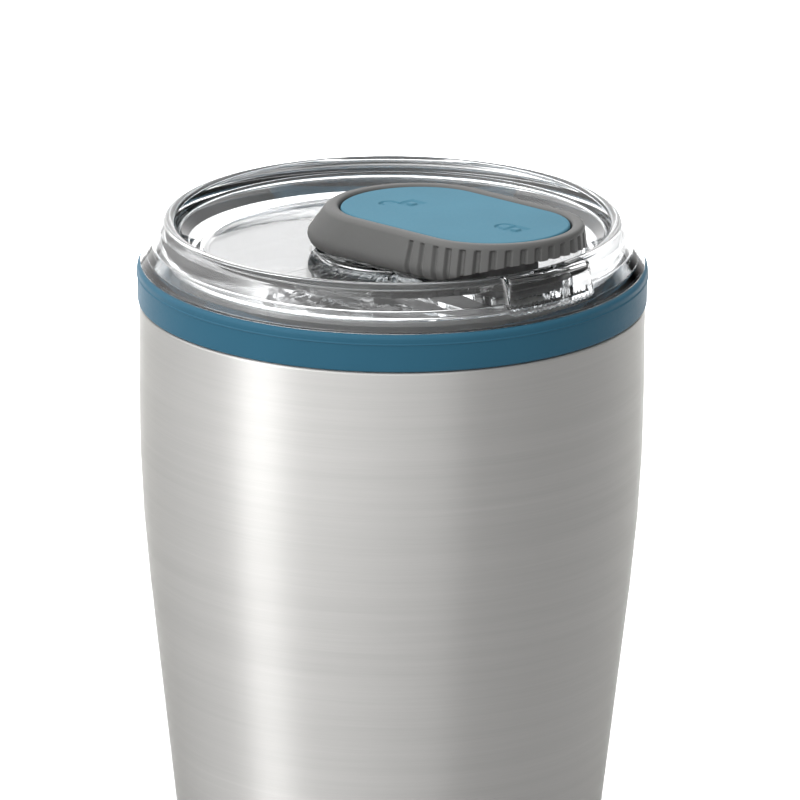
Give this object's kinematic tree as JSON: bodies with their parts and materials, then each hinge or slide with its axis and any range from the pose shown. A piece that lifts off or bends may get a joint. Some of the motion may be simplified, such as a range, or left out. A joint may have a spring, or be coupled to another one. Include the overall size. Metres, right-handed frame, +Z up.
{
  "type": "insulated tumbler with sliding lid",
  "caption": "Tapered double-wall steel tumbler with a soft sealing band, a clear lid with a raised spout, and a ribbed grip that slides to open the sipping port.",
  "frame": {"origin": "centre of the foot ring on the surface the tumbler stands on", "axes": "+Z up along the tumbler's axis, -Y towards the drinking side, so the slider opens towards +Y"},
  "size_m": [0.0894, 0.0894, 0.1724],
  "materials": {
    "brushed_steel": "brushed around the axis",
    "liner_steel": "satin, electropolished",
    "sealing_glass": "fused bead",
    "getter_metal": "sintered",
    "clear_plastic": "clear, polished",
    "blue_silicone": "soft matt silicone",
    "grey_plastic": "fine matt texture",
    "blue_pad": "soft matt silicone",
    "dark_plastic": "plain moulded",
    "seal_silicone": "soft moulded"
  },
  "bodies": {
    "vessel": {"outer_shell": "brushed_steel", "inner_liner": "liner_steel", "outer_bottom": "liner_steel", "vacuum_seal_bead": "sealing_glass", "getter": "getter_metal", "getter_clip": "liner_steel", "base_cap": "brushed_steel"},
    "lid": {"lid_shell": "clear_plastic", "lid_gasket": "blue_silicone"},
    "slider": {"slider_shell": "grey_plastic", "slider_insert": "blue_pad", "slider_carriage": "dark_plastic", "sip_seal": "seal_silicone", "vent_seal": "seal_silicone"}
  },
  "joints": [
    {"name": "lid_lift", "type": "slide", "parent": "vessel", "child": "lid", "axis": [0, 0, 1], "range_m": [0, 0.06]},
    {"name": "slider_slide", "type": "slide", "parent": "lid", "child": "slider", "axis": [0, 0.9986, -0.0523], "range_m": [0, 0.0125]}
  ]
}
